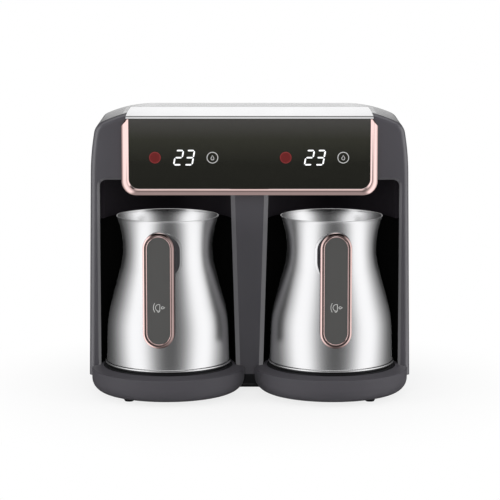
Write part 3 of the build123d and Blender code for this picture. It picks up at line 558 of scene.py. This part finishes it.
def potProfile(setup):
    # from the middle of the underside, out, up to the rim and down inside to the middle of the floor
    steps = setup["steps"]
    outer = potWall(setup, 0)
    inner = potWall(setup, setup["wall"])
    half = (outer[0][0] - inner[0][0]) / 2
    rimLow = outer[0][1] - half
    rim = arcPoints((inner[0][0] + half, rimLow), half, 0, 180, steps["rim"])
    low = setup["beadLow"]
    bulge = setup["beadRound"]
    bead = arcPoints((beadRadius - bulge, low + bulge), bulge, -90, 90, steps["bead"])
    underside = beadRadius - setup["coreInset"]
    crease = (outer[-1][0] - setup["crease"], bead[-1][1])
    corner = setup["floorRound"]
    floorZ = setup["floorHeight"] + setup["wall"]
    floor = arcPoints((inner[-1][0] - corner, floorZ + corner), corner, 0, -90, steps["floor"])
    upwards = [point for point in reversed(outer) if point[1] < rimLow]
    downwards = [point for point in inner if floorZ + corner < point[1] < inner[0][1] - half]
    start = [(0, setup["floorHeight"]), (underside, setup["floorHeight"]), (underside, low)]
    return start + bead + [crease] + upwards + rim + downwards + floor + [(0, floorZ)]

def addPots(setup):
    vertices, faces = lathe(potProfile(setup), setup["steps"]["round"])
    for side in sideNames:
        place = (bayX[side], frontY, potLow)
        pot = addPiece("pot_wall_" + side, vertices, faces, "potSteel", "pot_" + side, place)
        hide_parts("pot_vessel_" + side)

addPots(potShape)
print("pots made")


# frame round the glass: a bowed strip down both sides and across the foot
frameShape = {
    "side": 0.0065,              # width of the strip at the sides
    "low": 0.0056,               # and along the foot
    "sideSlopes": (60, 12),      # degrees from flat, at the outer edge and at the crest
    "lowSlopes": (42, 27),
    "sideCrest": 0.0052,         # from the outer edge
    "lowCrest": 0.0044,
    "innerDrop": 0.0010,
    "edgeLine": 0.0002,          # a second line of corners this far behind the outer edge
    "outerCorner": 0.013,
    "innerCorner": 0.009,
    "shoulderDrop": 0.0066,
    "shoulderLeast": 0.0001,     # what is left of the shoulder at the inner edge
    "shoulderInset": 0.0042,
    "sectionSteps": 12,
    "cornerSteps": 14,
}

def bowedSection(setup, part, front, back):
    # (width, depth) points: up the outer wall, over the bow to the crest, down to the glass
    width = setup[part]
    steps = setup["sectionSteps"]
    steep, flat = (radians(slope) for slope in setup[part + "Slopes"])
    radius = setup[part + "Crest"] / (sin(steep) - sin(flat))
    bow = []
    for step in range(steps + 1):
        slope = steep + (flat - steep) * step / steps
        bow.append((radius * (sin(steep) - sin(slope)), front + radius * (cos(flat) - cos(slope))))
    wall = [(0, back), (0, bow[0][1] + setup["edgeLine"])]
    return wall + bow + [(width, front + setup["innerDrop"]), (width, back)]

def frameRow(setup, low, high, sidePoint, lowPoint):
    # one line along the strip, as seen from the front
    half = (high.x - low.x) / 2
    share = sidePoint[0] / setup["side"]
    side = half - sidePoint[0]
    foot = low.z + lowPoint[0]
    corner = setup["outerCorner"] + (setup["innerCorner"] - setup["outerCorner"]) * share
    top = half - setup["shoulderInset"] + (setup["shoulderInset"] - setup["side"]) * share
    shoulder = high.z - setup["shoulderDrop"] * (1 - share) - setup["shoulderLeast"]
    right = [(top, sidePoint[1], high.z), (side, sidePoint[1], shoulder)]
    arc = arcPoints((side - corner, foot + corner), corner, 0, -90, setup["cornerSteps"])
    for step, (x, z) in enumerate(arc):
        past = step / setup["cornerSteps"]
        right.append((x, sidePoint[1] + (lowPoint[1] - sidePoint[1]) * past, z))
    return right + [(-x, y, z) for x, y, z in reversed(right)]

def addFrame(setup):
    low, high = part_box("panel_frame")
    sides = bowedSection(setup, "side", low.y, high.y)
    foot = bowedSection(setup, "low", low.y, high.y)
    rows = [frameRow(setup, low, high, sidePoint, lowPoint) for sidePoint, lowPoint in zip(sides, foot)]
    vertices, faces = closedStrip(rows)
    strip = addPiece("frame_strip", vertices, faces, "roseGold", "machine")
    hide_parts("panel_frame")

addFrame(frameShape)


# polished strip over the glass: a long bowed slope, a fine groove and a rounded nose
trimShape = {
    "lip": 0.0002,               # upright edge under the nose
    "nose": 0.0017,              # height of the nose over the glass
    "noseLean": 0.00098,
    "groove": 0.0005,
    "grooveFoot": (0.0001, 0.0003),    # in front of the slope, and below the nose
    "slopeLow": 0.0024,          # height of the slope's front edge over the glass
    "slopeSteps": 16,
    "bowPlace": 0.45,            # at this share of the slope's depth
    "bowRise": 0.62,             # it has risen by this share of its height
    "rearEdge": 0.0019,
    "frontHalf": 0.0042,         # ends of the strip inside the panel's sides, in front and at the rear
    "rearHalf": 0.0076,
}

def trimSection(setup, low, high):
    # (depth, height) points: from the glass, over the nose, the groove and the slope, down the rear
    noseTop = low.z + setup["nose"]
    noseBack = low.y + setup["noseLean"]
    slopeFront = noseBack + setup["groove"]
    slopeLow = low.z + setup["slopeLow"]
    grooveFront, grooveDepth = setup["grooveFoot"]
    section = [
        (frontY, low.z), (low.y, low.z), (low.y, low.z + setup["lip"]), (noseBack, noseTop),
        (slopeFront - grooveFront, noseTop - grooveDepth), (slopeFront, slopeLow),
    ]
    bow = setup["bowRise"] - setup["bowPlace"] ** 2
    bow /= setup["bowPlace"] * (1 - setup["bowPlace"])
    for step in range(1, setup["slopeSteps"] + 1):
        share = step / setup["slopeSteps"]
        rise = bow * share * (1 - share) + share ** 2
        section.append((slopeFront + (high.y - slopeFront) * share, slopeLow + (high.z - slopeLow) * rise))
    return section + [(high.y, high.z - setup["rearEdge"])]

def addTrim(setup):
    low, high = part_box("panel_top_trim")
    frameLow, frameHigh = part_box("panel_frame")
    width = (frameHigh.x - frameLow.x) / 2
    rows = []
    for depth, height in trimSection(setup, low, high):
        share = (depth - low.y) / (high.y - low.y)
        half = width - setup["frontHalf"] + (setup["frontHalf"] - setup["rearHalf"]) * share
        rows.append([(-half, depth, height), (half, depth, height)])
    vertices, faces = closedStrip(rows)
    strip = addPiece("trim_strip", vertices, faces, "brightTrim", "machine")
    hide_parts("panel_top_trim")

addTrim(trimShape)
print("frame and strip made")


# rings round the handle faces: a broad bevel outside, a groove and a thin inner bead
ringShape = {
    "reach": 0.082,              # from the pot's axis to the front of the ring
    "width": 0.027,
    "steps": 28,                 # in each half circle
    # distance inside the edge, depth behind the front
    "section": (
        (0.0, 0.0040), (0.0, 0.0008), (0.0001, 0.00055), (0.0012, 0.0001), (0.0014, 0.0),
        (0.0020, 0.0001), (0.0021, 0.0017), (0.0028, 0.0017), (0.0029, 0.0007),
        (0.0031, 0.0005), (0.0033, 0.0005), (0.0036, 0.0008), (0.0036, 0.0040),
    ),
}

def handleTurn(side):
    # how far the handle is turned about its pot's axis
    low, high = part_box("handle_face_" + side)
    middle = (low + high) / 2
    return atan2(middle.x - bayX[side], frontY - middle.y)

def turned(vertices, turn):
    return [(x * cos(turn) - y * sin(turn), x * sin(turn) + y * cos(turn), z) for x, y, z in vertices]

def addRings(setup):
    half = setup["width"] / 2
    for side in sideNames:
        low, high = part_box("handle_trim_" + side)
        rows = []
        for inset, depth in setup["section"] + setup["section"][:1]:
            outline = arcPoints((0, high.z - half), half - inset, 0, 180, setup["steps"])
            outline += arcPoints((0, low.z + half), half - inset, 180, 360, setup["steps"])
            rows.append([(x, depth - setup["reach"], z) for x, z in outline])
        vertices, faces = loft(rows, closed=True)
        vertices = turned(vertices, handleTurn(side))
        place = (bayX[side], frontY, 0)
        ring = addPiece("handle_ring_" + side, vertices, faces, "roseGold", "pot_" + side, place)
        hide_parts("handle_trim_" + side)

addRings(ringShape)
print("handle rings made")


# helpers for printed and lit marks, drawn as thin raised strokes that face forwards

def strokeMesh(path, width, thickness, closed=False):
    # a ribbon along a path of (x, z) points, its front at y = 0
    count = len(path)
    rows = []
    for place, (x, z) in enumerate(path):
        before = path[place - 1] if closed or place > 0 else path[place]
        after = path[(place + 1) % count] if closed or place < count - 1 else path[place]
        length = hypot(after[0] - before[0], after[1] - before[1])
        aside = (before[1] - after[1]) / length * width / 2
        upwards = (after[0] - before[0]) / length * width / 2
        rows.append([
            (x + aside, 0, z + upwards), (x - aside, 0, z - upwards),
            (x - aside, thickness, z - upwards), (x + aside, thickness, z + upwards),
        ])
    corners = len(rows[0])
    if closed:
        rows.append(rows[0])
    vertices, faces = loft(rows, closed=True)
    if not closed:
        faces.append(tuple(reversed(range(corners))))
        faces.append(tuple(range(len(vertices) - corners, len(vertices))))
    return vertices, faces

def discMesh(radius, thickness, steps):
    turns = [2 * pi * step / steps for step in range(steps)]
    front = [(radius * cos(turn), 0, radius * sin(turn)) for turn in turns]
    back = [(x, thickness, z) for x, y, z in front]
    vertices, faces = loft([front, back], closed=True)
    return vertices, faces + [tuple(reversed(range(steps))), tuple(range(steps, 2 * steps))]

# a falling drop: a round foot under a point
dropShape = {
    "flank": 25,                 # degrees by which the round foot is more than half a circle, on each side
    "steps": 20,
}

def dropPath(setup, width, height):
    radius = width / 2
    flank = setup["flank"]
    foot = arcPoints((0, radius - height / 2), radius, -180 - flank, flank, setup["steps"])
    return foot + [(0, height / 2)]

def joined(meshes):
    vertices = []
    faces = []
    for someVertices, someFaces in meshes:
        start = len(vertices)
        vertices += someVertices
        faces += [tuple(corner + start for corner in face) for face in someFaces]
    return vertices, faces


# a cup on a saucer with a drop over it, on each handle face; all but the first four in shares of its size
printShape = {
    "size": 0.0094,
    "thickness": 0.00012,
    "height": 0.345,             # on the handle face, from its foot
    "reach": 0.00085,            # from the middle of the face's box forwards to the print
    "line": 0.05,
    "brim": (0.30, 0.12),        # half its width, and its height
    "cupMiddle": 0.02,
    "cupSteps": 18,
    "earMiddle": (0.31, -0.02),
    "earRadius": 0.10,
    "earEnds": (80, -80),        # degrees
    "earSteps": 10,
    "saucerMiddle": (0, 0.25),
    "saucerRadius": 0.72,
    "saucerEnds": (235, 305),
    "saucerSteps": 16,
    "dropMiddle": 0.42,
    "dropSize": (0.2, 0.32),
}

def cupStrokes(setup):
    half, brim = setup["brim"]
    rim = [(-half, brim), (half, brim)]
    bowl = arcPoints((0, setup["cupMiddle"]), half, 180, 360, setup["cupSteps"])
    cup = rim[:1] + bowl + rim[1:]
    ear = arcPoints(setup["earMiddle"], setup["earRadius"], *setup["earEnds"], setup["earSteps"])
    saucer = arcPoints(
        setup["saucerMiddle"], setup["saucerRadius"], *setup["saucerEnds"], setup["saucerSteps"]
    )
    drop = [(x, z + setup["dropMiddle"]) for x, z in dropPath(dropShape, *setup["dropSize"])]
    size = setup["size"]
    strokes = []
    for path in (cup, rim, ear, saucer, drop):
        scaled = [(x * size, z * size) for x, z in path]
        strokes.append(strokeMesh(scaled, size * setup["line"], setup["thickness"], closed=path is drop))
    return joined(strokes)

def quarterTurned(mesh):
    # turned clockwise, so that it reads with the handle lying down
    vertices, faces = mesh
    return [(z, y, -x) for x, y, z in vertices], faces

def addPrints(setup):
    # turned with each handle about its pot's axis
    for side in sideNames:
        low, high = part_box("handle_face_" + side)
        middle = (low + high) / 2
        turn = handleTurn(side)
        reach = hypot(middle.x - bayX[side], middle.y - frontY) + setup["reach"]
        height = low.z + (high.z - low.z) * setup["height"]
        place = (bayX[side] + reach * sin(turn), frontY - reach * cos(turn), height)
        vertices, faces = quarterTurned(cupStrokes(setup))
        vertices = turned(vertices, turn)
        mark = addPiece("handle_print_" + side, vertices, faces, "printWhite", "pot_" + side, place)

addPrints(printShape)


# a dim red disc inside each red ring, and a drop inside each white one
keyShape = {
    "thickness": 0.00012,
    "discShare": 0.94,           # of the ring's radius
    "discBehind": 0.00003,       # behind the front of the ring
    "discSteps": 64,
    "dropSize": (0.0026, 0.0040),
    "dropLine": 0.00042,
}

def addKeyMarks(setup):
    low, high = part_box("key_rings_red")
    radius = (high.z - low.z) / 2
    height = (high.z + low.z) / 2
    front = low.y
    disc = discMesh(radius * setup["discShare"], setup["thickness"], setup["discSteps"])
    for side, x in zip(sideNames, (low.x + radius, high.x - radius)):
        place = (x, front + setup["discBehind"], height)
        piece = addPiece("red_disc_" + side, *disc, "redDisc", "machine", place)
    low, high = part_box("key_rings_white")
    path = dropPath(dropShape, *setup["dropSize"])
    drop = strokeMesh(path, setup["dropLine"], setup["thickness"], closed=True)
    for side, x in zip(sideNames, (low.x + radius, high.x - radius)):
        piece = addPiece("white_drop_" + side, *drop, "ringWhite", "machine", (x, front, height))

addKeyMarks(keyShape)
print("marks made")


# floor, world and lights
floorSetup = {
    "size": 12.0,
    "grey": 0.86,
    "rough": 0.9,
    "whiteNear": 0.80,           # share of plain white in the floor beside the machine
    "whiteFrom": 0.10,           # distances between which the floor turns all white
    "whiteTo": 0.30,
}
worldSetup = {
    "ambient": 0.5,              # soft light from all round
    "background": 1.0,           # what the camera sees, 1 is white
    "tentPeak": 1.5,             # strength that polished surfaces see at a share of 1
    "tentTurn": 6,               # degrees that the tent is turned to the right of the picture
    # what polished surfaces see round them: degrees from the tent's middle, share of the peak
    "tent": (
        (0, 0.064), (12, 0.082), (20, 0.14), (29, 0.25), (36, 0.45), (45, 0.74), (52, 0.96),
        (80, 0.98), (90, 0.70), (101, 0.43), (114, 0.22), (128, 0.09), (145, 0.045), (165, 0.02),
    ),
    # the same for what lies higher up, and the steepness between which it takes over
    "upperTent": (
        (0, 0.0), (30, 0.002), (42, 0.02), (52, 0.15), (60, 0.60), (66, 1.0), (71, 1.0), (77, 0.50),
        (83, 0.10), (90, 0.0), (104, 0.0), (116, 0.08), (128, 0.12), (145, 0.05), (165, 0.02),
    ),
    "upperFrom": (0.43, 0.54),
    "behind": (168, 178, 1.0),   # degrees between which the bright wall behind begins, and its strength
    "horizon": (-0.06, 0.01),    # steepness between which that wall begins
    "above": (0.75, 0.95, 1.0),  # steepness between which the tent turns plain, and its strength there
    "below": (0.85, 0.97, 0.42),
}
lampSetup = {
    "leftBox": {"place": (-1.15, -0.55, 0.45), "aim": (0, -0.05, 0.12), "size": (0.6, 1.1), "power": 7.0},
    "rightBox": {"place": (1.15, -0.55, 0.45), "aim": (0, -0.05, 0.12), "size": (0.6, 1.1), "power": 7.0},
    "topFill": {"place": (0, -0.4, 1.7), "aim": (0, 0, 0.15), "size": (1.4, 1.0), "power": 4.0},
    "frontFill": {"place": (0, -2.2, 0.9), "aim": (0, 0, 0.14), "size": (1.6, 1.0), "power": 10.0},
}

def seenRay(tree):
    # 1 for rays from the camera, off polished surfaces and through glass, 0 for light itself
    rays = addNode(tree, "ShaderNodeLightPath").outputs
    seen = mathNode(tree, "MAXIMUM", rays["Is Camera Ray"], rays["Is Glossy Ray"])
    return mathNode(tree, "MAXIMUM", seen, rays["Is Transmission Ray"])

def floorMaterial(setup):
    # pale grey that takes the shadows, mixed with a white that grows with the distance
    material, tree, shader = startMaterial("pale_floor")
    grey = setup["grey"]
    setShader(tree, shader, colour=(grey, grey, grey), rough=setup["rough"], gloss=0.0)
    distance = addNode(tree, "ShaderNodeVectorMath", {0: objectPlace(tree)}, operation="LENGTH")
    far = smoothStep(tree, distance.outputs["Value"], setup["whiteFrom"], setup["whiteTo"])
    share = rangeNode(tree, far, setup["whiteNear"], 1.0)
    factor = mathNode(tree, "MULTIPLY", share, seenRay(tree))
    white = addNode(tree, "ShaderNodeEmission", {"Color": (1, 1, 1, 1)})
    both = addNode(tree, "ShaderNodeMixShader", {0: factor, 1: shader.outputs[0], 2: white.outputs[0]})
    tree.links.new(both.outputs[0], tree.nodes["Material Output"].inputs["Surface"])
    return material

def addFloor(setup):
    size = setup["size"]
    corners = [(-size, -size, 0), (size, -size, 0), (size, size, 0), (-size, size, 0)]
    mesh = bpy.data.meshes.new("floor")
    mesh.from_pydata(corners, [], [(0, 1, 2, 3)])
    mesh.materials.append(floorMaterial(setup))
    floor = bpy.data.objects.new("floor", mesh)
    bpy.context.scene.collection.objects.link(floor)

def studioTent(tree, setup):
    # what polished surfaces see: dim straight ahead, bright on both sides, a wall behind
    axes = axesOf(tree, addNode(tree, "ShaderNodeTexCoord").outputs["Generated"])
    heading = mathNode(tree, "ARCTAN2", axes["X"], negated(tree, axes["Y"]))
    aside = mathNode(tree, "ABSOLUTE", mathNode(tree, "SUBTRACT", heading, radians(setup["tentTurn"])))
    share = mathNode(tree, "DIVIDE", aside, pi)
    rings = []
    for name in ("tent", "upperTent"):
        stops = [(degrees / 180, (grey, grey, grey)) for degrees, grey in setup[name]]
        rings.append(rampNode(tree, share, stops))
    raised = smoothStep(tree, axes["Z"], *setup["upperFrom"])
    seen = mathNode(tree, "MULTIPLY", mixNode(tree, raised, *rings, kind="RGBA"), setup["tentPeak"])
    near, far, wall = setup["behind"]
    rearward = smoothStep(tree, mathNode(tree, "ABSOLUTE", heading), radians(near), radians(far))
    overHorizon = smoothStep(tree, axes["Z"], *setup["horizon"])
    seen = mixNode(tree, mathNode(tree, "MULTIPLY", rearward, overHorizon), seen, wall)
    for steepness, name in ((axes["Z"], "above"), (negated(tree, axes["Z"]), "below")):
        start, end, strength = setup[name]
        seen = mixNode(tree, smoothStep(tree, steepness, start, end), seen, strength)
    return seen

def setWorld(setup):
    # plain soft light, a white background, and the tent for polished surfaces alone
    world = bpy.data.worlds.new("studio")
    bpy.context.scene.world = world
    world.use_nodes = True
    tree = world.node_tree
    rays = addNode(tree, "ShaderNodeLightPath").outputs
    straight = mathNode(tree, "MAXIMUM", rays["Is Camera Ray"], rays["Is Transmission Ray"])
    plain = rangeNode(tree, straight, setup["ambient"], setup["background"])
    strength = mixNode(tree, rays["Is Glossy Ray"], plain, studioTent(tree, setup))
    background = tree.nodes["Background"]
    background.inputs["Color"].default_value = (1, 1, 1, 1)
    tree.links.new(strength, background.inputs["Strength"])

def addLamp(name, setup):
    data = bpy.data.lights.new(name, "AREA")
    data.shape = "RECTANGLE"
    data.size, data.size_y = setup["size"]
    data.energy = setup["power"]
    lamp = bpy.data.objects.new(name, data)
    bpy.context.scene.collection.objects.link(lamp)
    lamp.location = setup["place"]
    aim = Vector(setup["aim"]) - Vector(setup["place"])
    lamp.rotation_mode = "QUATERNION"
    lamp.rotation_quaternion = aim.to_track_quat("-Z", "Y")
    lamp.visible_camera = False
    lamp.visible_glossy = False

addFloor(floorSetup)
setWorld(worldSetup)
for lampName, lampValues in lampSetup.items():
    addLamp(lampName, lampValues)
bpy.context.scene.view_settings.view_transform = "Standard"
print("stage and lamps set")

# polished surfaces mirror the studio, the column and the black bays, and nothing else,
# as in a retouched photograph
mirroredPieces = ("column_cover", "bay_liner_left", "bay_liner_right")
for piece in bpy.context.scene.objects:
    if piece.type == "MESH" and piece.name not in mirroredPieces:
        piece.visible_glossy = False
